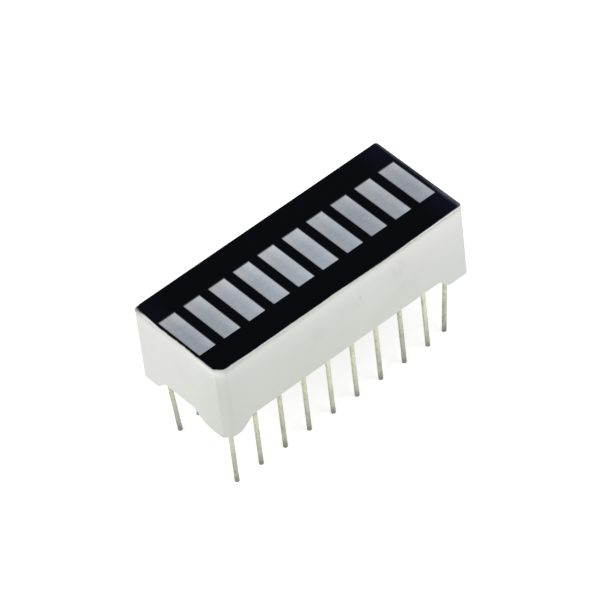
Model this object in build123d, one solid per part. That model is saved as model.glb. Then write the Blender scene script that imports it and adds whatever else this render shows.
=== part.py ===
from build123d import *
import os
from math import cos, radians, sin

# Ten-segment LED bar graph in a dual-in-line package, standing on its pins.
# Millimetres. The origin is on the plane of the pin tips, under the middle of the body.
# +X runs along the row of segments, -Y is the side of pins 1 to 10, +Z is up.

# Segments and pins
segment_count = 10
pitch = 2.54
row_spacing = 7.62
pin_diameter = 0.4
pin_exposed = 6.6
pin_tip_chamfer = 0.08
pin_neck_width = 0.28

# Pin 10 at the end of the front row and pin 20 behind pin 1 lean from the resin down
front_bent_pin_number = 10
front_bent_pin_angle = 4.5
front_bent_pin_heading = 157.0
rear_bent_pin_number = 20
rear_bent_pin_angle = 3.4
rear_bent_pin_heading = -31.0
bend_radius = 1.2

# Housing
body_height = 7.75
wall = 0.65
pin_side_room = 0.42
pin_end_room = 0.42
corner_radius = 0.3
marked_corner = 0.62
marked_corner_side_round = 0.9
marked_corner_end_round = 0.35
top_edge_radius = 0.25
cavity_corner_radius = 0.35

# Feet under the corners, with an arch between each two
foot_height = 1.0
foot_flat = 2.05
foot_ramp = 0.95
foot_round = 0.4
end_foot_flat = 1.85
end_foot_ramp = 1.0
marked_foot_flat = 1.6
marked_foot_ramp = 1.2
marked_foot_round = 0.8
marked_end_foot_flat = 2.48
marked_end_foot_ramp = 1.35
marked_end_foot_round = 2.1

# Light cells
cell_width = 1.67
cell_length = 4.97
cell_land = 0.4
mouth_width = 1.1
mouth_length = 1.9
cell_shift_x = -0.18
cell_shift_y = -0.14

# Printed black face
print_thickness = 0.06
print_wrap = 0.16
print_rim = 0.2
print_rear_rim = 0.11
print_rim_length = 3.8
print_rear_rim_length = 1.8
print_corner_round = 0.6

# Potting resin and circuit board
resin_recess = 0.08
back_cover = 0.85
board_thickness = 0.8
board_clearance = 0.1
deck_gap = 0.03
copper_thickness = 0.05
track_width = 0.85
track_past_pin = 0.42
track_gap = 0.18

# Chips and bond wires
chip_width = 0.32
chip_height = 0.22
chip_offset = 0.39
epoxy_thickness = 0.03
epoxy_spread = 0.05
wire_diameter = 0.04
wire_rise = 0.2
wire_sides = 6

# Worked out from the sizes above
pin_radius = pin_diameter / 2
body_width = row_spacing + 2 * (pin_radius + pin_side_room + wall)
body_length = (segment_count - 1) * pitch + 2 * (pin_radius + pin_end_room + wall)
half_length = body_length / 2
half_width = body_width / 2
cavity_length = body_length - 2 * wall
cavity_width = body_width - 2 * wall
seat_z = pin_exposed
arch_z = seat_z + foot_height
top_z = seat_z + body_height
shell_top_z = top_z - print_thickness
resin_back_z = arch_z + resin_recess
board_bottom_z = resin_back_z + back_cover
board_top_z = board_bottom_z + board_thickness
copper_top_z = board_top_z + copper_thickness
deck_z = copper_top_z + deck_gap
chip_bottom_z = copper_top_z + epoxy_thickness
chip_top_z = chip_bottom_z + chip_height

# How far a cutting solid runs past what it cuts, outside the body and inside it
outside = 1.0
cut_past = 0.2


def pin_x(column):
    """X of a pin or a segment, counted from the left end."""
    return (column - (segment_count - 1) / 2) * pitch


def prism(plan, bottom, height):
    """Upright prism on the level bottom."""
    return extrude(Pos(0, 0, bottom) * plan, amount=height)


def rounded_plan(length, width, radius):
    corners = [
        (-length / 2, -width / 2),
        (length / 2, -width / 2),
        (length / 2, width / 2),
        (-length / 2, width / 2),
    ]
    return make_face(FilletPolyline(*corners, radius=radius, close=True))


# Places of the pins, numbered along the front and back along the rear
pin_places = [(pin_x(column), -row_spacing / 2) for column in range(segment_count)]
pin_places += [(pin_x(column), row_spacing / 2) for column in reversed(range(segment_count))]

# Places of the cells: the moulded row is a little off the middle of the body
cell_places = [(pin_x(column) + cell_shift_x, cell_shift_y) for column in range(segment_count)]


# Outside of the body: the corner at pin 1 is cut off, the other three are rounded
def body_plan():
    corners = [
        (-half_length + marked_corner, -half_width),
        (half_length, -half_width),
        (half_length, half_width),
        (-half_length, half_width),
        (-half_length, -half_width + marked_corner),
    ]
    rounds = [marked_corner_side_round, corner_radius, corner_radius, corner_radius, marked_corner_end_round]
    return make_face(FilletPolyline(*corners, radius=rounds, close=True))


def body_block(top):
    """Closed body from below the feet up to top, with a rounded top edge."""
    bottom = seat_z - outside
    block = prism(body_plan(), bottom, top - bottom)
    rim = block.faces().sort_by(Axis.Z)[-1].edges()
    return fillet(rim, top_edge_radius)


# Feet: each wall ends in an arch between two feet, with a soft ramp up from each foot
def arch_plan(half_span, start, end):
    """What is cut from under a wall. start and end are (flat of the foot, ramp, round of the foot)."""
    start_flat, start_ramp, start_round = start
    end_flat, end_ramp, end_round = end
    points = [
        (-half_span - outside, seat_z),
        (-half_span + start_flat, seat_z),
        (-half_span + start_flat + start_ramp, arch_z),
        (half_span - end_flat - end_ramp, arch_z),
        (half_span - end_flat, seat_z),
        (half_span + outside, seat_z),
        (half_span + outside, seat_z - 2 * outside),
        (-half_span - outside, seat_z - 2 * outside),
    ]
    rounds = [0, start_round, foot_round, foot_round, end_round, 0, 0, 0]
    return make_face(FilletPolyline(*points, radius=rounds, close=True))


def arches():
    side_foot = (foot_flat, foot_ramp, foot_round)
    end_foot = (end_foot_flat, end_foot_ramp, foot_round)
    marked_side_foot = (marked_foot_flat, marked_foot_ramp, marked_foot_round)
    marked_end_foot = (marked_end_foot_flat, marked_end_foot_ramp, marked_end_foot_round)
    depth = outside + wall + cut_past
    front = Plane.XZ.offset(half_width + outside)
    rear = Plane.XZ.offset(-half_width - outside)
    left = Plane.YZ.offset(-half_length - outside)
    right = Plane.YZ.offset(half_length + outside)
    return [
        extrude(front * arch_plan(half_length, marked_side_foot, side_foot), amount=-depth),
        extrude(rear * arch_plan(half_length, side_foot, side_foot), amount=depth),
        extrude(left * arch_plan(half_width, marked_end_foot, end_foot), amount=depth),
        extrude(right * arch_plan(half_width, end_foot, end_foot), amount=-depth),
    ]


# Inside of the body: room for the board and ten light cells
def light_cell():
    """Cell from its mouth at the board to its window: straight sides, and ends that curve up."""
    land_z = shell_top_z - cell_land
    lip_z = top_z + outside
    side = Polyline(
        (-mouth_width / 2, deck_z - cut_past),
        (-mouth_width / 2, deck_z),
        (-cell_width / 2, land_z),
        (-cell_width / 2, lip_z),
        (cell_width / 2, lip_z),
        (cell_width / 2, land_z),
        (mouth_width / 2, deck_z),
        (mouth_width / 2, deck_z - cut_past),
        close=True,
    )
    mouth = mouth_length / 2
    window = cell_length / 2
    end = Line((-mouth, deck_z - cut_past), (-mouth, deck_z))
    end += TangentArc((-window, land_z), (-mouth, deck_z), tangent=(0, -1))
    end += Polyline((-window, land_z), (-window, lip_z), (window, lip_z), (window, land_z))
    end += TangentArc((window, land_z), (mouth, deck_z), tangent=(0, -1))
    end += Polyline((mouth, deck_z), (mouth, deck_z - cut_past), (-mouth, deck_z - cut_past))
    across = extrude(Plane.XZ * make_face(side), amount=cell_length, both=True)
    along = extrude(Plane.YZ * make_face(end), amount=cell_width, both=True)
    return across & along


def cells():
    one = light_cell()
    return [Pos(x, y, 0) * one for x, y in cell_places]


def inside():
    """Everything that the resin and what it holds take up in the body."""
    plan = rounded_plan(cavity_length, cavity_width, cavity_corner_radius)
    bottom = seat_z - outside
    return prism(plan, bottom, deck_z - bottom) + cells()


def reflector_housing(hollow):
    return body_block(shell_top_z) - hollow - arches()


# Printed face: it wraps over the rounded top edge and leaves a pale rim at the rear left corner
def print_plan():
    points = [
        (-half_length - outside, -half_width - outside),
        (half_length + outside, -half_width - outside),
        (half_length + outside, half_width + outside),
        (-half_length + print_rear_rim_length, half_width + outside),
        (-half_length + print_rear_rim_length, half_width),
        (-half_length + print_rim, half_width - print_rear_rim),
        (-half_length, half_width - print_rim_length),
        (-half_length - outside, half_width - print_rim_length),
    ]
    return make_face(FilletPolyline(*points, radius=[0, 0, 0, 0, 0, print_corner_round, 0, 0], close=True))


def face_mask():
    cap = body_block(top_z) & prism(print_plan(), top_z - print_wrap, print_wrap + outside)
    return cap - body_block(shell_top_z) - cells()


# Pins: round wire with a chamfered tip, squared where resin and board hold it
def neck():
    return prism(Rectangle(pin_neck_width, pin_neck_width), resin_back_z, copper_top_z - resin_back_z)


def necks():
    return [Pos(x, y, 0) * neck() for x, y in pin_places]


def pin(number):
    if number == front_bent_pin_number:
        wire = leaning_wire(front_bent_pin_angle, front_bent_pin_heading)
    elif number == rear_bent_pin_number:
        wire = leaning_wire(rear_bent_pin_angle, rear_bent_pin_heading)
    else:
        wire = prism(Circle(pin_radius), 0, resin_back_z)
    tip = wire.faces().sort_by(Axis.Z)[0].edges()
    x, y = pin_places[number - 1]
    return Pos(x, y, 0) * (chamfer(tip, pin_tip_chamfer) + neck())


def leaning_wire(angle, heading):
    """Wire of the same length, which turns by the angle under the resin and runs on straight."""
    lean = radians(angle)
    bend_side = bend_radius * (1 - cos(lean))
    bend_z = resin_back_z - bend_radius * sin(lean)
    rest = resin_back_z - bend_radius * lean
    tip = (bend_side + rest * sin(lean), bend_z - rest * cos(lean))
    path = JernArc((0, resin_back_z), (0, -1), bend_radius, angle)
    path += Line((bend_side, bend_z), tip)
    wire = sweep(Pos(0, 0, resin_back_z) * Circle(pin_radius), path=Plane.XZ * path)
    return Rot(0, 0, heading) * wire


# Board: the neck of each pin is pressed through it and through the copper track to its cell
def track(side, column):
    """Plan of one copper track. side is -1 for the front row and 1 for the rear row."""
    outer_end = row_spacing / 2 + track_past_pin
    inner_end = track_gap / 2 + side * cell_shift_y
    plan = Rectangle(track_width, outer_end - inner_end)
    return Pos(pin_x(column), side * (outer_end + inner_end) / 2) * plan


def circuit_board():
    length = cavity_length - 2 * board_clearance
    width = cavity_width - 2 * board_clearance
    plan = rounded_plan(length, width, cavity_corner_radius - board_clearance)
    board = prism(plan, board_bottom_z, board_thickness)
    for column in range(segment_count):
        for side in (-1, 1):
            board += prism(track(side, column) & plan, board_top_z, copper_thickness)
    return board - necks()


# Chips, the silver epoxy under them and the bond wires
def die_attach():
    side = chip_width + 2 * epoxy_spread
    dot = prism(Rectangle(side, side), copper_top_z, epoxy_thickness)
    return Compound(children=[Pos(x, y + chip_offset, 0) * dot for x, y in cell_places])


def led_chip(column):
    x, y = cell_places[column]
    return Pos(x, y + chip_offset, 0) * prism(Rectangle(chip_width, chip_width), chip_bottom_z, chip_height)


def bond_wire(column):
    """Hair-fine wire up from the chip, across the gap and down to the other track."""
    loop_z = chip_top_z + wire_rise
    points = [
        (chip_offset, chip_top_z),
        (chip_offset, loop_z),
        (-chip_offset, loop_z),
        (-chip_offset, copper_top_z),
    ]
    section = Pos(0, chip_offset, chip_top_z) * RegularPolygon(wire_diameter / 2, wire_sides)
    loop = sweep(section, path=Plane.YZ * Polyline(*points), transition=Transition.RIGHT)
    x, y = cell_places[column]
    return Pos(x, y, 0) * loop


def resin_fill(hollow, embedded):
    """The pour: all of the hollow from the back surface up to the face, round what it holds."""
    slab = prism(body_plan(), resin_back_z, top_z - resin_back_z)
    return (hollow & slab) - embedded


# All nodes
nodes = {}
nodes["circuit_board"] = circuit_board()
nodes["die_attach"] = die_attach()
for column in range(segment_count):
    nodes[f"led_chip_{column + 1:02d}"] = led_chip(column)
    nodes[f"bond_wire_{column + 1:02d}"] = bond_wire(column)

hollow = inside()
nodes["resin_fill"] = resin_fill(hollow, list(nodes.values()) + necks())
for number in range(1, len(pin_places) + 1):
    nodes[f"pin_{number:02d}"] = pin(number)
nodes["reflector_housing"] = reflector_housing(hollow)
nodes["face_mask"] = face_mask()

os.makedirs("parts", exist_ok=True)
for name, shape in nodes.items():
    export_step(shape, f"parts/{name}.step")
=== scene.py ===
"""Studio scene of a ten-segment LED bar graph that stands on its pins."""
import math
from typing import NamedTuple

import bpy
from mathutils import Euler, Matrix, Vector


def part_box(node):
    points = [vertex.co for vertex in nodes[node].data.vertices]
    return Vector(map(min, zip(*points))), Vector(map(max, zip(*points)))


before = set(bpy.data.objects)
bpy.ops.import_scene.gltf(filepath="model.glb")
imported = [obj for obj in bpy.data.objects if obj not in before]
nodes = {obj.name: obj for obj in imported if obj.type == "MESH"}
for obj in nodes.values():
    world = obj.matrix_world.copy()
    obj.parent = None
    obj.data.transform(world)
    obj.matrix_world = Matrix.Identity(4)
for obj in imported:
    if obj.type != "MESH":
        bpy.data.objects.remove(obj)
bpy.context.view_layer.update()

MM = 0.001


def corners(node):
    """Lowest and highest corner of a node, in millimetres."""
    return [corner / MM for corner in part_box(node)]


def middle(node):
    """Middle of a node's box, in millimetres."""
    low, high = corners(node)
    return (low + high) / 2


# Sizes read from the frame, in millimetres
shell_low, shell_high = corners("reflector_housing")
board_low, board_high = corners("circuit_board")
TOP = corners("face_mask")[1].z
SEAT = shell_low.z
HALF_LENGTH = shell_high.x
HALF_WIDTH = shell_high.y
PITCH = middle("pin_03").x - middle("pin_02").x
ROW_SPACING = middle("pin_19").y - middle("pin_02").y
SEGMENTS = sum(name.startswith("led_chip") for name in nodes)

# Cut of the corner at pin 1
MARKED_CORNER = 0.62

# Row of windows: its shift from the middle of the body, and the size of one window
ROW_SHIFT_X = -0.18
ROW_SHIFT_Y = -0.14
WINDOW_LENGTH = 4.97
WINDOW_WIDTH = 1.67


class Fade(NamedTuple):
    """A change from before, which holds up to start, to amount, which holds from full on.

    Both ends are places in millimetres, or levels of a pattern.
    """

    start: float
    full: float
    amount: float = 1.0
    before: float = 0.0


class Pattern(NamedTuple):
    """Noise from 0 to 1: features per millimetre, detail, roughness, and a factor for each axis."""

    scale: float
    detail: float
    roughness: float = 0.5
    stretch: tuple = None


class Shader:
    """Node tree of one material, with short calls for the nodes used here. Places are in millimetres."""

    def __init__(self, name):
        self.material = bpy.data.materials.new(name)
        self.material.use_nodes = True
        self.tree = self.material.node_tree
        self.bsdf = self.tree.nodes["Principled BSDF"]
        coordinates = self.node("ShaderNodeTexCoord")
        self.place = self.vector("MULTIPLY", coordinates.outputs["Object"], (1 / MM, 1 / MM, 1 / MM))
        split = self.node("ShaderNodeSeparateXYZ")
        self.link(self.place, split.inputs[0])
        self.x, self.y, self.z = split.outputs

    def node(self, kind, **settings):
        made = self.tree.nodes.new(kind)
        for key, value in settings.items():
            setattr(made, key, value)
        return made

    def link(self, source, target):
        self.tree.links.new(source, target)

    def feed(self, target, value):
        """Links a socket, or sets a plain value."""
        if isinstance(value, bpy.types.NodeSocket):
            self.link(value, target)
        elif target.type == "RGBA":
            target.default_value = (*value, 1.0)
        else:
            target.default_value = value

    def vector(self, operation, source, factors):
        made = self.node("ShaderNodeVectorMath", operation=operation)
        self.link(source, made.inputs[0])
        made.inputs[1].default_value = factors
        return made.outputs[0]

    def math(self, operation, first, second=0.0):
        made = self.node("ShaderNodeMath", operation=operation)
        self.feed(made.inputs[0], first)
        self.feed(made.inputs[1], second)
        return made.outputs[0]

    def in_turn(self, operation, first, *others):
        """The first value, taken with each of the others in turn."""
        for other in others:
            first = self.math(operation, first, other)
        return first

    def total(self, *values):
        return self.in_turn("ADD", *values)

    def difference(self, *values):
        return self.in_turn("SUBTRACT", *values)

    def product(self, *values):
        return self.in_turn("MULTIPLY", *values)

    def most(self, *values):
        return self.in_turn("MAXIMUM", *values)

    def ramp(self, value, start, end, low=0.0, high=1.0, smooth=True):
        """Value mapped from start..end to low..high, and held outside."""
        kind = "SMOOTHSTEP" if smooth else "LINEAR"
        made = self.node("ShaderNodeMapRange", interpolation_type=kind)
        for slot, number in zip(made.inputs, (value, start, end, low, high)):
            self.feed(slot, number)
        return made.outputs[0]

    def fade(self, value, fade, smooth=True):
        return self.ramp(value, fade.start, fade.full, fade.before, fade.amount, smooth)

    def band(self, value, rise, fall):
        """A fade in, cut off by a second fade."""
        return self.product(self.fade(value, rise), self.fade(value, fall))

    def noise(self, pattern):
        made = self.node("ShaderNodeTexNoise")
        source = self.place
        if pattern.stretch:
            source = self.vector("MULTIPLY", source, pattern.stretch)
        self.link(source, made.inputs["Vector"])
        made.inputs["Scale"].default_value = pattern.scale
        made.inputs["Detail"].default_value = pattern.detail
        made.inputs["Roughness"].default_value = pattern.roughness
        return made.outputs["Fac"]

    def spot(self, centre, reach):
        """1 at centre, falling to 0 at reach along each axis."""
        away = self.vector("DIVIDE", self.vector("SUBTRACT", self.place, centre), reach)
        length = self.node("ShaderNodeVectorMath", operation="LENGTH")
        self.link(away, length.inputs[0])
        return self.ramp(length.outputs["Value"], 0.0, 1.0, 1.0, 0.0)

    def mix(self, first, second, *amounts):
        """The first colour with the second mixed in, by the product of the amounts."""
        made = self.node("ShaderNodeMix", data_type="RGBA")
        self.feed(made.inputs["Factor"], self.product(*amounts))
        colors = [slot for slot in made.inputs if slot.type == "RGBA"]
        self.feed(colors[0], first)
        self.feed(colors[1], second)
        return next(slot for slot in made.outputs if slot.type == "RGBA")

    def bump(self, height, depth):
        """Relief of the given depth."""
        made = self.node("ShaderNodeBump")
        made.inputs["Distance"].default_value = depth * MM
        self.link(height, made.inputs["Height"])
        self.link(made.outputs["Normal"], self.bsdf.inputs["Normal"])

    def finish(self, color, roughness, metallic=0.0, specular=0.5):
        self.feed(self.bsdf.inputs["Base Color"], color)
        self.feed(self.bsdf.inputs["Roughness"], roughness)
        self.bsdf.inputs["Metallic"].default_value = metallic
        self.bsdf.inputs["Specular IOR Level"].default_value = specular
        return self.material


def srgb(red, green, blue):
    """Linear colour from 0 to 255 screen values."""
    return tuple(((c / 255 + 0.055) / 1.055) ** 2.4 for c in (red, green, blue))


BLACK = (0.0, 0.0, 0.0)

# Edge of the print on the walls: its depth below the top plane, its softness and its unevenness
INK_EDGE = 0.155
INK_SOFT = 0.05
INK_WAVE = 0.06
INK_WAVE_PATTERN = Pattern(0.9, 4.0, 0.6)
INK_WAVE_LEVELS = Fade(0.3, 0.7, INK_WAVE / 2, -INK_WAVE / 2)

# On the near wall the print hangs lower, most of all at one place
INK_NEAR_WALL = Fade(-HALF_WIDTH + 0.6, -HALF_WIDTH + 0.25)
INK_NEAR = 0.02
INK_DRIP = 0.11
INK_DRIP_AT = 4.2
INK_DRIP_REACH = 5.5

# At both ends of the near side it ends higher, and so it does on the left end wall
INK_LIFT_LEFT = Fade(-8.5, -11.5, 0.05)
INK_LIFT_RIGHT = Fade(9.5, 11.5, 0.03)
INK_LIFT_NEAR = Fade(2.8, 0.0)
INK_END_WALL = Fade(-HALF_LENGTH + 0.5, -HALF_LENGTH + 0.1)
INK_END_LIFT = Fade(1.8, 3.4, 0.06, 0.01)

# Pale rim that the print leaves along the left end and the rear, widest at the corner between them
INK_RIM = 0.2
INK_RIM_LENGTH = 3.8
INK_RIM_SOFT = 0.012
INK_REAR_RIM = 0.11
INK_REAR_RIM_LENGTH = 1.8
INK_RIM_ROUND = 0.6
INK_RIM_SMEAR = Fade(INK_RIM_LENGTH - 0.8, 0.5, -0.16, -INK_RIM_SOFT)


def ink_amount(shader):
    """1 on the printed area, 0 below its uneven edge."""
    from_drip = shader.math("ABSOLUTE", shader.difference(shader.x, INK_DRIP_AT))
    drip = shader.ramp(from_drip, 0.0, INK_DRIP_REACH, INK_DRIP + INK_NEAR, INK_NEAR)
    drip = shader.product(drip, shader.fade(shader.y, INK_NEAR_WALL))
    wave = shader.fade(shader.noise(INK_WAVE_PATTERN), INK_WAVE_LEVELS, smooth=False)
    lift = shader.most(shader.fade(shader.x, INK_LIFT_LEFT), shader.fade(shader.x, INK_LIFT_RIGHT))
    lift = shader.product(lift, shader.fade(shader.y, INK_LIFT_NEAR))
    end_lift = shader.product(shader.fade(shader.x, INK_END_WALL), shader.fade(shader.y, INK_END_LIFT))
    edge = shader.difference(shader.total(drip, INK_EDGE, wave), lift, end_lift)
    depth = shader.difference(TOP, shader.z)
    ink = shader.ramp(shader.difference(edge, depth), -INK_SOFT, INK_SOFT)
    return shader.math("MINIMUM", ink, inside_rim(shader))


def inside_rim(shader):
    """1 inside the pale rim at the rear left corner, which has a rounded corner of its own."""
    from_end = shader.total(shader.x, HALF_LENGTH)
    from_rear = shader.difference(HALF_WIDTH, shader.y)
    rim = shader.ramp(from_rear, INK_RIM_LENGTH, INK_REAR_RIM, 0.0, INK_RIM, smooth=False)
    rear_rim = shader.ramp(from_end, INK_REAR_RIM_LENGTH, INK_RIM, 0.0, INK_REAR_RIM, smooth=False)
    squares = []
    for from_edge, width in ((from_end, rim), (from_rear, rear_rim)):
        short = shader.difference(INK_RIM_ROUND, shader.difference(from_edge, width))
        short = shader.most(short, 0.0)
        squares.append(shader.product(short, short))
    from_centre = shader.math("SQRT", shader.total(*squares))
    inner = shader.difference(INK_RIM_ROUND, from_centre)
    return shader.ramp(inner, shader.fade(from_rear, INK_RIM_SMEAR), INK_RIM_SOFT)


# Black ink, with a painted bluish sheen at the right end, and bluer at the rear of the left end
INK = srgb(4, 5, 10)
INK_END = srgb(10, 13, 23)
INK_BLUE_RIGHT = Fade(HALF_LENGTH - 3.2, HALF_LENGTH - 0.4, 0.95)
INK_BLUE_LEFT = Fade(-HALF_LENGTH + 2.5, -HALF_LENGTH + 0.5, 0.45)
INK_BLUE_REAR = Fade(-1.0, 3.0)

# Painted highlight on the rounded right edge, in a speckled strip that is wider at its near part
INK_EDGE_HIGHLIGHT = srgb(102, 105, 120)
HIGHLIGHT_NEAR = 0.6
HIGHLIGHT_FAR = 0.45
HIGHLIGHT_NEAR_PART = Fade(-0.6, -3.2)
HIGHLIGHT_SPECKS = Pattern(2.4, 5.0, 0.7)
HIGHLIGHT_SPECK_LEVELS = Fade(0.35, 0.62, 1.0, 0.6)


def ink_color(shader):
    # Painted bluish sheen towards the right end, and bluer at the rear of the left end
    left = shader.product(shader.fade(shader.x, INK_BLUE_LEFT), shader.fade(shader.y, INK_BLUE_REAR))
    color = shader.mix(INK, INK_END, shader.most(shader.fade(shader.x, INK_BLUE_RIGHT), left))
    # Painted highlight in a speckled strip along the right edge
    near = shader.fade(shader.y, HIGHLIGHT_NEAR_PART)
    width = shader.total(shader.product(near, HIGHLIGHT_NEAR - HIGHLIGHT_FAR), HIGHLIGHT_FAR)
    inner = shader.difference(HALF_LENGTH, shader.x, width)
    specks = shader.fade(shader.noise(HIGHLIGHT_SPECKS), HIGHLIGHT_SPECK_LEVELS)
    return shader.mix(color, INK_EDGE_HIGHLIGHT, shader.ramp(inner, 0.0, -HIGHLIGHT_NEAR), specks)


# Moulded white plastic, in soft clouds of two whites
WHITE = srgb(231, 232, 227)
WHITE_SHADE = srgb(226, 227, 222)
WHITE_GREEN_AND_SHADE = srgb(219, 224, 216)
WHITE_LOW_SHADE = srgb(214, 217, 209)
WHITE_CORNER_SHADE = srgb(208, 212, 204)
WHITE_REAR = srgb(230, 230, 228)
WHITE_RIGHT_PAINTED_LIGHT = srgb(246, 247, 247)
WHITE_EDGE_HIGHLIGHT = srgb(244, 245, 241)
WALL_CLOUDS = Pattern(0.35, 4.0)
WALL_CLOUD_LEVELS = Fade(0.35, 0.7)

# Tones of the near wall along its length, and of the body towards its rear, with painted shade towards
# its foot
NEAR_WALL = Fade(-HALF_WIDTH + 0.7, -HALF_WIDTH + 0.2)
# Near wall: green tint and painted shade at the left, painted shade near the cut corner, painted light
# at the right
NEAR_WALL_TONES_AND_SHADING = (
    (WHITE_GREEN_AND_SHADE, Fade(8.0, -6.0, 0.7)),
    (WHITE_CORNER_SHADE, Fade(-9.0, -11.9, 0.24)),
    (WHITE_RIGHT_PAINTED_LIGHT, Fade(6.5, 10.5, 0.4)),
)
REAR_TONE = Fade(-1.0, 3.0, 0.75)
# Painted shade, darker towards the foot
LOW_SHADE = Fade(TOP - 1.0, SEAT + 1.0, 0.48)

# Painted shade: the left end wall darkens towards the cut corner, and the corner is a little greyer
# still
END_WALL = Fade(-HALF_LENGTH + 0.25, -HALF_LENGTH + 0.05)
END_WALL_SHADE = Fade(-1.6, -4.4, 0.42)
CORNER_PLANE = -HALF_LENGTH - HALF_WIDTH + MARKED_CORNER
CORNER = Fade(CORNER_PLANE + 0.5, CORNER_PLANE + 0.08)
CORNER_OFF_END = Fade(-HALF_LENGTH + 0.02, -HALF_LENGTH + 0.14)

# Smudges on the near wall and at the rear of the end wall: middle, reach and amount
SCUFF = srgb(160, 163, 157)
SMUDGES = (
    ((5.65, -HALF_WIDTH, TOP - 2.2), (1.6, 0.8, 1.8), 0.18),
    ((1.1, -HALF_WIDTH, TOP - 2.5), (2.0, 0.8, 2.2), 0.08),
    ((1.7, -HALF_WIDTH, TOP - 2.45), (0.25, 0.8, 0.35), 0.4),
    ((-2.9, -HALF_WIDTH, TOP - 3.0), (1.2, 0.8, 1.4), 0.1),
    ((5.9, -HALF_WIDTH, TOP - 4.2), (1.0, 0.8, 0.9), 0.08),
    ((-HALF_LENGTH, 3.2, TOP - 0.5), (0.8, 2.4, 0.7), 0.08),
    ((-HALF_LENGTH, 3.0, TOP - 0.55), (0.8, 0.5, 0.35), 0.22),
)
SMUDGE_GRAIN = Pattern(2.2, 5.0, 0.65)
SMUDGE_GRAIN_LEVELS = Fade(0.35, 0.65, 1.0, 0.35)


def plastic_color(shader):
    clouds = shader.fade(shader.noise(WALL_CLOUDS), WALL_CLOUD_LEVELS)
    color = shader.mix(WHITE, WHITE_SHADE, clouds)
    near_wall = shader.fade(shader.y, NEAR_WALL)
    # Near wall: green tint and painted shade at the left, painted shade near the cut corner, painted
    # light at the right
    for tone, along in NEAR_WALL_TONES_AND_SHADING:
        color = shader.mix(color, tone, shader.fade(shader.x, along), near_wall)
    rear = shader.fade(shader.y, REAR_TONE)
    color = shader.mix(color, WHITE_REAR, rear)
    # Painted shade towards the foot
    color = shader.mix(color, WHITE_LOW_SHADE, shader.fade(shader.z, LOW_SHADE), shader.difference(1.0, rear))
    end_wall = shader.fade(shader.x, END_WALL)
    # Painted shade on the end wall towards the cut corner, and on the corner facet
    color = shader.mix(color, WHITE_CORNER_SHADE, shader.fade(shader.y, END_WALL_SHADE), end_wall)
    corner = shader.fade(shader.total(shader.x, shader.y), CORNER)
    color = shader.mix(color, WHITE_CORNER_SHADE, corner, shader.fade(shader.x, CORNER_OFF_END))
    grain = shader.fade(shader.noise(SMUDGE_GRAIN), SMUDGE_GRAIN_LEVELS)
    for centre, reach, amount in SMUDGES:
        color = shader.mix(color, SCUFF, shader.spot(centre, reach), grain, amount)
    return top_band(shader, color, near_wall)


# Light bands by their depth below the top: all round, on the near wall, and at the near part of the
# left end wall
# Painted highlights: the walls are lighter just below the top
LIGHT_BAND = (Fade(0.2, 0.6), Fade(1.9, 0.9, 0.25))
NEAR_LIGHT_BAND = (Fade(0.2, 0.6), Fade(3.2, 0.9))
NEAR_LIGHT_ALONG = Fade(-11.0, 0.0, 0.28, 0.05)
END_LIGHT_BAND = (Fade(0.2, 0.35), Fade(1.0, 0.5))
END_LIGHT_WALL = Fade(-HALF_LENGTH + 0.9, -HALF_LENGTH + 0.3)
END_LIGHT_ALONG = Fade(-1.0, -2.4, 0.6)

# Rubbed plastic next to the print, in streaks on the near wall and towards the rear
RUBBED_BAND = (Fade(0.15, 0.3), Fade(0.8, 0.4))
RUBBED_STREAKS = Pattern(3.0, 6.0, 0.75, (0.5, 0.5, 2.6))
RUBBED_STREAK_LEVELS = Fade(0.4, 0.68, 0.5, 0.1)
RUBBED_REAR = Fade(-1.5, 2.0)
RUBBED_EDGE = Fade(0.3, 0.1, 0.4)

# Ink smeared thin over the rear left corner, with a darker run out to its edge: middle and reach
INK_SMEARED = srgb(96, 92, 86)
SMEAR = ((-HALF_LENGTH + 0.1, HALF_WIDTH - 0.3, TOP), (1.3, 1.3, 0.45))
SMEAR_AMOUNT = 0.95
RUN = ((-HALF_LENGTH + 0.36, HALF_WIDTH - 0.28, TOP), (0.42, 0.42, 0.26))
RUN_EDGE = Fade(0.15, 0.75)

# A fine broken line below the print on the near wall: middle and reach
LINE = ((8.5, -HALF_WIDTH, TOP - 0.42), (9.0, 0.6, 0.07))
LINE_BREAKS = Pattern(2.0, 5.0, 0.7)
LINE_BREAK_LEVELS = Fade(0.38, 0.58, 0.95, 0.15)


def top_band(shader, color, near_wall):
    """The walls next to the print: painted highlight bands, and over them rubbed and smeared plastic."""
    depth = shader.difference(TOP, shader.z)
    # Painted highlight bands
    color = shader.mix(color, WHITE_EDGE_HIGHLIGHT, shader.band(depth, *LIGHT_BAND))
    along = shader.fade(shader.x, NEAR_LIGHT_ALONG)
    color = shader.mix(color, WHITE_EDGE_HIGHLIGHT, shader.band(depth, *NEAR_LIGHT_BAND), near_wall, along)
    end_wall = shader.fade(shader.x, END_LIGHT_WALL)
    along = shader.fade(shader.y, END_LIGHT_ALONG)
    color = shader.mix(color, WHITE_EDGE_HIGHLIGHT, shader.band(depth, *END_LIGHT_BAND), end_wall, along)
    streaks = shader.fade(shader.noise(RUBBED_STREAKS), RUBBED_STREAK_LEVELS)
    rubbed = shader.product(shader.most(near_wall, shader.fade(shader.y, RUBBED_REAR)), streaks)
    color = shader.mix(color, SCUFF, shader.band(depth, *RUBBED_BAND), rubbed)
    color = shader.mix(color, SCUFF, shader.fade(depth, RUBBED_EDGE))
    color = shader.mix(color, INK_SMEARED, shader.spot(*SMEAR), SMEAR_AMOUNT)
    color = shader.mix(color, INK, shader.fade(shader.spot(*RUN), RUN_EDGE))
    breaks = shader.fade(shader.noise(LINE_BREAKS), LINE_BREAK_LEVELS)
    return shader.mix(color, SCUFF, shader.spot(*LINE), breaks)


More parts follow.
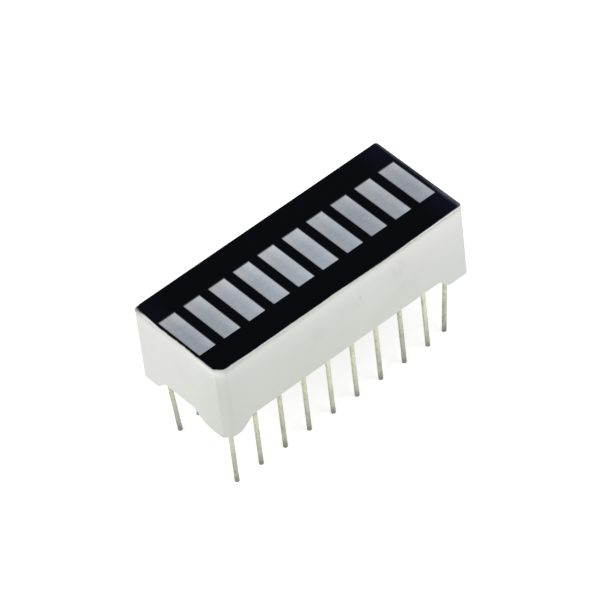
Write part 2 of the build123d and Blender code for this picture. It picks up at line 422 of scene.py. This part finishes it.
# Surface of plastic and print
PLASTIC_ROUGHNESS = 0.5
PLASTIC_SPECULAR = 0.2
INK_ROUGHNESS = 0.42
INK_SPECULAR = 0.01
SHELL_GRAIN = Pattern(9.0, 4.0, 0.6)
SHELL_GRAIN_DEPTH = 0.006


def shell_material(name, specular):
    """White plastic under the black print. Housing and print share it, so that the edge runs on."""
    shader = Shader(name)
    ink = ink_amount(shader)
    color = shader.mix(plastic_color(shader), ink_color(shader), ink)
    shader.bump(shader.noise(SHELL_GRAIN), SHELL_GRAIN_DEPTH)
    roughness = shader.ramp(ink, 0.0, 1.0, PLASTIC_ROUGHNESS, INK_ROUGHNESS)
    return shader.finish(color, roughness, specular=specular)


# Milky resin that fills the cells and shows as the segments, with other tones in their far part and
# their near part
MILK_FAR = srgb(190, 193, 198)
MILK_MIDDLE = srgb(168, 174, 183)
MILK_NEAR = srgb(169, 176, 185)
MILK_DARK = srgb(120, 124, 134)
MILK_BRIGHT = srgb(196, 198, 206)
MILK_BACK = srgb(206, 205, 196)
WINDOW_SIDE = WINDOW_WIDTH / 2
WINDOW_END = WINDOW_LENGTH / 2
MILK_FAR_PART = Fade(0.0, WINDOW_END + 0.2)
MILK_NEAR_PART = Fade(-0.8, -WINDOW_END)

# The row dims towards both ends
MILK_DIM_LEFT = Fade(-1.0, -11.0, 0.1615)
MILK_DIM_RIGHT = Fade(-1.5, 7.0, 0.19)

# Segments with a tone of their own: number, tone and amount, and the reach of a spot over one of them
MILK_TONES = (
    (1, MILK_DARK, 0.1),
    (3, MILK_FAR, 0.16),
    (8, MILK_DARK, 0.1),
    (9, MILK_FAR, 0.18),
    (10, MILK_DARK, 0.08),
)
ONE_SEGMENT = (1.4, 9.0, 9.0)

# Clouds, blotches and specks in the resin: a pattern, and each tone with its levels
MILK_PATTERNS = (
    (Pattern(0.8, 3.0), ((MILK_MIDDLE, Fade(0.4, 0.75, 0.25)),)),
    (Pattern(1.7, 4.0, 0.6), ((MILK_DARK, Fade(0.45, 0.7, 0.1)), (MILK_FAR, Fade(0.5, 0.28, 0.14)))),
    (Pattern(7.0, 5.0, 0.7), ((MILK_BRIGHT, Fade(0.48, 0.75, 0.3)), (MILK_DARK, Fade(0.5, 0.28, 0.2)))),
)

# Each segment is lighter at its right side, and shaded under the edges of the print
LEFT_PART_SHADE = Fade(WINDOW_SIDE - 0.18, -0.05, 0.22)
RIGHT_EDGE_SHADE = Fade(WINDOW_SIDE - 0.1, WINDOW_SIDE - 0.02, 0.9)
LEFT_EDGE_SHADE = Fade(-WINDOW_SIDE + 0.14, -WINDOW_SIDE, 0.3)
FAR_EDGE_SHADE = Fade(WINDOW_END - 0.16, WINDOW_END - 0.05, 0.9)

# Back of the resin, and its surface
RESIN_BACK = Fade(board_high.z, board_low.z)
RESIN_GRAIN = Pattern(3.0, 5.0)
RESIN_GRAIN_DEPTH = 0.01
RESIN_ROUGHNESS = 0.42
RESIN_SPECULAR = 0.2


def column_place(number):
    """Distance of a segment, or of a pin of the near row, from the middle of its row."""
    return PITCH * (number - (SEGMENTS + 1) / 2)


def resin_material():
    shader = Shader("Milky resin")
    along = shader.difference(shader.y, ROW_SHIFT_Y)
    color = shader.mix(MILK_MIDDLE, MILK_FAR, shader.fade(along, MILK_FAR_PART))
    color = shader.mix(color, MILK_NEAR, shader.fade(along, MILK_NEAR_PART))
    dim = shader.total(shader.fade(shader.x, MILK_DIM_LEFT), shader.fade(shader.x, MILK_DIM_RIGHT))
    color = shader.mix(color, BLACK, dim)
    for segment, tone, amount in MILK_TONES:
        centre = (ROW_SHIFT_X + column_place(segment), ROW_SHIFT_Y, TOP)
        color = shader.mix(color, tone, shader.spot(centre, ONE_SEGMENT), amount)
    for pattern, tones in MILK_PATTERNS:
        noise = shader.noise(pattern)
        for tone, levels in tones:
            color = shader.mix(color, tone, shader.fade(noise, levels))
    row_start = ROW_SHIFT_X - PITCH * SEGMENTS / 2
    across = shader.math("MODULO", shader.difference(shader.x, row_start), PITCH)
    across = shader.difference(across, PITCH / 2)
    color = shader.mix(color, BLACK, shader.fade(across, LEFT_PART_SHADE, smooth=False))
    sides = (shader.fade(across, RIGHT_EDGE_SHADE), shader.fade(across, LEFT_EDGE_SHADE))
    color = shader.mix(color, BLACK, shader.most(*sides, shader.fade(along, FAR_EDGE_SHADE)))
    color = shader.mix(color, MILK_BACK, shader.fade(shader.z, RESIN_BACK))
    shader.bump(shader.noise(RESIN_GRAIN), RESIN_GRAIN_DEPTH)
    return shader.finish(color, RESIN_ROUGHNESS, specular=RESIN_SPECULAR)


# Tinned wire: bright near the body, darker towards the tips
TIN_HIGH = srgb(204, 206, 182)
TIN_LOW = srgb(171, 173, 158)
TIN_DULL = srgb(138, 140, 127)
TIN_END = srgb(108, 109, 101)
TIN_LIGHT = srgb(232, 234, 214)
TIN_UPPER_PART = Fade(1.0, SEAT - 1.2)
TIN_TIP = Fade(1.3, 0.1, 0.75)

# Dull patches, and dark and light specks, drawn out along the wire
TIN_PATCHES = Pattern(1.6, 5.0, 0.65, (1.0, 1.0, 0.45))
TIN_PATCH_LEVELS = Fade(0.45, 0.72, 0.5)
TIN_SPECKS = Pattern(6.0, 5.0, 0.7, (1.0, 1.0, 0.6))
TIN_DARK_LEVELS = Fade(0.51, 0.68, 0.42)
TIN_LIGHT_LEVELS = Fade(0.47, 0.34, 0.28)
TIN_ROUGHNESS = Fade(0.35, 0.7, 0.5, 0.3)
TIN_METALLIC = 0.85
TIN_GRAIN = Pattern(6.0, 4.0, 0.5, (1.0, 1.0, 0.3))
TIN_GRAIN_DEPTH = 0.004

# Pins with a tone of their own: number, tone and amount, and the reach of a spot over one of them
PIN_TONES = (
    (1, TIN_END, 0.16),
    (2, TIN_END, 0.08),
    (3, TIN_END, 0.12),
    (4, TIN_END, 0.08),
    (5, TIN_LIGHT, 0.18),
    (6, TIN_LIGHT, 0.18),
    (8, TIN_END, 0.2),
    (9, TIN_LIGHT, 0.14),
    (10, TIN_END, 0.1),
    (20, TIN_END, 0.1),
)
ONE_PIN = (1.6, 3.6, 5 * SEAT)


def pin_middle(number):
    """Middle of the part of a pin that stands free. The rear row is numbered backwards."""
    if number <= SEGMENTS:
        return (column_place(number), -ROW_SPACING / 2, SEAT / 2)
    return (column_place(2 * SEGMENTS + 1 - number), ROW_SPACING / 2, SEAT / 2)


def wire_material():
    shader = Shader("Tinned wire")
    color = shader.mix(TIN_LOW, TIN_HIGH, shader.fade(shader.z, TIN_UPPER_PART))
    patches = shader.noise(TIN_PATCHES)
    color = shader.mix(color, TIN_DULL, shader.fade(patches, TIN_PATCH_LEVELS))
    specks = shader.noise(TIN_SPECKS)
    color = shader.mix(color, TIN_END, shader.fade(specks, TIN_DARK_LEVELS))
    color = shader.mix(color, TIN_LIGHT, shader.fade(specks, TIN_LIGHT_LEVELS))
    for number, tone, amount in PIN_TONES:
        color = shader.mix(color, tone, shader.spot(pin_middle(number), ONE_PIN), amount)
    color = shader.mix(color, TIN_END, shader.fade(shader.z, TIN_TIP))
    shader.bump(shader.noise(TIN_GRAIN), TIN_GRAIN_DEPTH)
    return shader.finish(color, shader.fade(patches, TIN_ROUGHNESS), metallic=TIN_METALLIC)


# Board: glass-epoxy laminate with copper on its upper face
LAMINATE = srgb(196, 186, 138)
LAMINATE_DARK = srgb(168, 158, 112)
COPPER = srgb(206, 138, 98)
COPPER_SIDE = Fade(board_high.z - 0.045, board_high.z - 0.035)
LAMINATE_ROUGHNESS = 0.55
COPPER_ROUGHNESS = 0.35
WEAVE = Pattern(5.0, 2.0, 0.5, (1.0, 3.0, 1.0))
WEAVE_LEVELS = Fade(0.3, 0.7)
WEAVE_DEPTH = 0.01


def board_material():
    shader = Shader("Board laminate and copper")
    weave = shader.noise(WEAVE)
    laminate = shader.mix(LAMINATE, LAMINATE_DARK, shader.fade(weave, WEAVE_LEVELS))
    copper = shader.fade(shader.z, COPPER_SIDE)
    color = shader.mix(laminate, COPPER, copper)
    shader.link(copper, shader.bsdf.inputs["Metallic"])
    shader.bump(weave, WEAVE_DEPTH)
    return shader.finish(color, shader.ramp(copper, 0.0, 1.0, LAMINATE_ROUGHNESS, COPPER_ROUGHNESS))


# Grained pieces inside: name, two tones, roughness, metallic, and features per millimetre
SILVER_EPOXY = ("Silver epoxy", srgb(196, 196, 196), srgb(150, 150, 152), 0.45, 0.7, 12.0)
CHIP_CRYSTAL = ("Chip crystal", srgb(150, 84, 62), srgb(96, 52, 44), 0.25, 0.0, 6.0)
GOLD_WIRE = ("Gold wire", srgb(240, 206, 120), srgb(206, 160, 80), 0.25, 1.0, 16.0)
GRAIN_DETAIL = 4.0
GRAIN_LEVELS = Fade(0.35, 0.7)
GRAIN_DEPTH = 0.003


def grained_material(name, color, dark, roughness, metallic, scale):
    shader = Shader(name)
    grain = shader.noise(Pattern(scale, GRAIN_DETAIL))
    mixed = shader.mix(color, dark, shader.fade(grain, GRAIN_LEVELS))
    shader.bump(grain, GRAIN_DEPTH)
    return shader.finish(mixed, roughness, metallic)


by_prefix = {
    "reflector_housing": shell_material("White moulding", PLASTIC_SPECULAR),
    "face_mask": shell_material("Black print", INK_SPECULAR),
    "resin_fill": resin_material(),
    "circuit_board": board_material(),
    "die_attach": grained_material(*SILVER_EPOXY),
    "led_chip": grained_material(*CHIP_CRYSTAL),
    "bond_wire": grained_material(*GOLD_WIRE),
    "pin": wire_material(),
}
for name, piece in nodes.items():
    prefix = next(key for key in by_prefix if name.startswith(key))
    piece.data.materials.clear()
    piece.data.materials.append(by_prefix[prefix])


def link_seen_rays(tree, target):
    """Sets target to 1 for rays from the camera, and for rays that a surface mirrors or lets through."""
    path = tree.nodes.new("ShaderNodeLightPath")
    seen = path.outputs["Is Camera Ray"]
    for ray in ("Is Glossy Ray", "Is Transmission Ray"):
        either = tree.nodes.new("ShaderNodeMath")
        either.operation = "MAXIMUM"
        tree.links.new(seen, either.inputs[0])
        tree.links.new(path.outputs[ray], either.inputs[1])
        seen = either.outputs[0]
    tree.links.new(seen, target)


# Floor: pale grey that takes the shadow, and lifted to white where it is seen lit
FLOOR_SIZE = 3.0
FLOOR_COLOR = (0.6, 0.6, 0.6)
FLOOR_ROUGHNESS = 0.9
FLOOR_LIFT = 0.62
WHITE_LIGHT = (1.0, 1.0, 1.0)


def floor_material():
    shader = Shader("Pale floor")
    lift = shader.node("ShaderNodeMath", operation="MULTIPLY")
    link_seen_rays(shader.tree, lift.inputs[0])
    lift.inputs[1].default_value = FLOOR_LIFT
    shader.feed(shader.bsdf.inputs["Emission Color"], WHITE_LIGHT)
    shader.link(lift.outputs[0], shader.bsdf.inputs["Emission Strength"])
    return shader.finish(FLOOR_COLOR, FLOOR_ROUGHNESS, specular=0.0)


bpy.ops.mesh.primitive_plane_add(size=FLOOR_SIZE)
floor = bpy.context.object
floor.name = "studio_floor"
floor.data.materials.append(floor_material())

# World: even pale light, and plain white where it is seen
WORLD_LIGHT = 0.55
WORLD_SEEN = 1.0
world = bpy.data.worlds.new("Studio")
bpy.context.scene.world = world
world.use_nodes = True
background = world.node_tree.nodes["Background"]
background.inputs["Color"].default_value = (*WHITE_LIGHT, 1.0)
strength = world.node_tree.nodes.new("ShaderNodeMapRange")
strength.inputs["To Min"].default_value = WORLD_LIGHT
strength.inputs["To Max"].default_value = WORLD_SEEN
link_seen_rays(world.node_tree, strength.inputs["Value"])
world.node_tree.links.new(strength.outputs[0], background.inputs["Strength"])

# Soft boxes: name, azimuth from -Y towards +X and elevation in degrees, size in metres, and watts
SOFTBOX_DISTANCE = 0.9
SOFTBOXES = (
    ("key_box", -80, 42, 0.5, 3.7),
    ("fill_box", 25, 40, 0.6, 2.15),
    ("top_box", 0, 88, 0.7, 1.2),
)


def softbox(name, azimuth, elevation, size, watts):
    """Square lamp that aims at the foot of the body."""
    turn, rise = math.radians(azimuth), math.radians(elevation)
    outward = math.cos(rise)
    direction = Vector((math.sin(turn) * outward, -math.cos(turn) * outward, math.sin(rise)))
    data = bpy.data.lights.new(name, "AREA")
    data.size = size
    data.energy = watts
    lamp = bpy.data.objects.new(name, data)
    lamp.location = Vector((0, 0, SEAT * MM)) + direction * SOFTBOX_DISTANCE
    lamp.rotation_euler = direction.to_track_quat("Z", "Y").to_euler()
    bpy.context.scene.collection.objects.link(lamp)


for box in SOFTBOXES:
    softbox(*box)

# Camera at the photograph's viewing angle, solved from the corners of the ten windows.
# Its place is in millimetres from the middle of the face, its turn in degrees, and its reach in metres.
CAMERA_PLACE = (-163.58, -223.54, 281.40)
CAMERA_TURN = (43.814, 4.947, -41.271)
CAMERA_REACH = (0.01, 10.0)
FOCAL_PIXELS = 5060.1
IMAGE_PIXELS = 600
PIXEL_SHIFT = (0.3, 0.2)
SENSOR = 36.0
camera_data = bpy.data.cameras.new("camera")
camera_data.sensor_width = SENSOR
camera_data.lens = FOCAL_PIXELS * SENSOR / IMAGE_PIXELS
camera_data.shift_x = -PIXEL_SHIFT[0] / IMAGE_PIXELS
camera_data.shift_y = PIXEL_SHIFT[1] / IMAGE_PIXELS
camera_data.clip_start, camera_data.clip_end = CAMERA_REACH
camera = bpy.data.objects.new("camera", camera_data)
camera.location = (Vector(CAMERA_PLACE) + Vector((0, 0, TOP))) * MM
camera.rotation_euler = Euler([math.radians(angle) for angle in CAMERA_TURN])
bpy.context.scene.collection.objects.link(camera)
bpy.context.scene.camera = camera

bpy.context.scene.view_settings.view_transform = "Standard"
